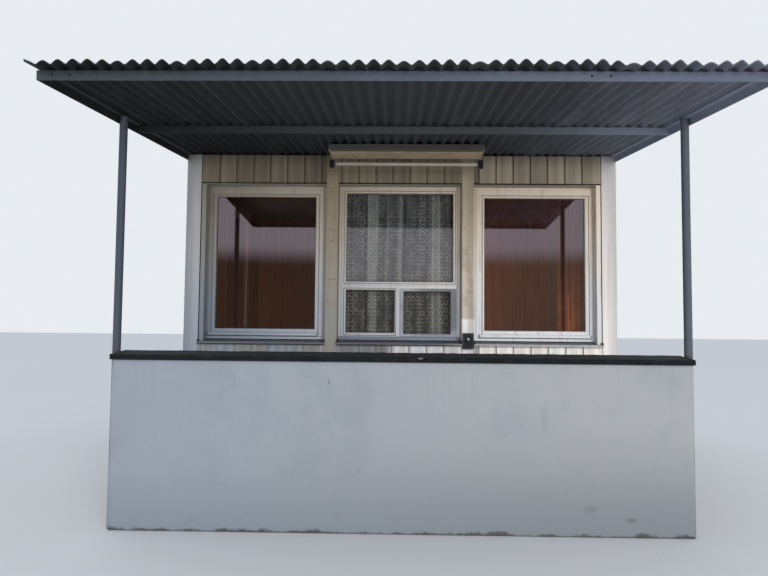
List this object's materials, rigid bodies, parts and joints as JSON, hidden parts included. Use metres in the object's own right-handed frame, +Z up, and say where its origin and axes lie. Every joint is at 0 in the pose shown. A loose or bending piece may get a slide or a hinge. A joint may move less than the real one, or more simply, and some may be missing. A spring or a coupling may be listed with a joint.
{
  "type": "security guard booth",
  "caption": "Clad guard booth with a service window, under a corrugated roof that runs on as a canopy over a low wall.",
  "frame": {"origin": "ground level under the middle of the booth's base", "axes": "+X to the right seen from the front, +Y to the back, +Z up; the front windows and the canopy face -Y"},
  "size_m": [3.752, 4.9564, 2.9836],
  "materials": {
    "concrete": "rough",
    "floorboard": "satin",
    "cladding": "satin",
    "white_paint": "satin",
    "cream_paint": "satin",
    "window_frame": "satin",
    "pane": "clear",
    "sill_metal": "satin",
    "door_paint": "satin",
    "handle_metal": "brushed",
    "ceiling_board": "matte",
    "roof_sheet": "matte",
    "steel_paint": "satin",
    "plaster": "rough",
    "coping_stone": "rough",
    "lamp_metal": "satin",
    "tube_glass": "frosted",
    "black_plastic": "matte",
    "bell_plastic": "gloss",
    "button_plastic": "gloss",
    "rail_metal": "satin",
    "lace": "woven",
    "drape": "woven"
  },
  "bodies": {
    "root": {"base_slab": "concrete", "floor": "floorboard", "front_wall_lower": "cladding", "front_wall_upper": "cladding", "left_wall": "cladding", "rear_wall": "cladding", "right_wall_front": "cladding", "right_wall_rear": "cladding", "right_wall_over_door": "cladding", "corner_posts": "white_paint", "mullion_posts": "cream_paint", "window_jambs": "cream_paint", "left_window_frame": "window_frame", "middle_window_frame": "window_frame", "right_window_frame": "window_frame", "side_window_frame": "window_frame", "left_window_glass": "pane", "middle_window_glass": "pane", "right_window_glass": "pane", "side_window_glass": "pane", "service_sash": "window_frame", "service_sash_glass": "pane", "window_sills": "sill_metal", "door_frame": "window_frame", "door_leaf": "door_paint", "door_handle": "handle_metal", "door_hinges": "handle_metal", "ceiling": "ceiling_board", "roof_sheets_lower": "roof_sheet", "roof_sheets_upper": "roof_sheet", "canopy_fascia": "steel_paint", "canopy_side_beams": "steel_paint", "roof_purlins": "steel_paint", "canopy_posts": "steel_paint", "low_wall": "plaster", "coping": "coping_stone", "lamp_body": "lamp_metal", "lamp_tube": "tube_glass", "lamp_holders": "black_plastic", "lamp_brackets": "lamp_metal", "bell_box": "bell_plastic", "bell_button": "button_plastic", "curtain_rail": "rail_metal", "lace_curtain": "lace", "window_drape": "drape"}
  },
  "joints": []
}
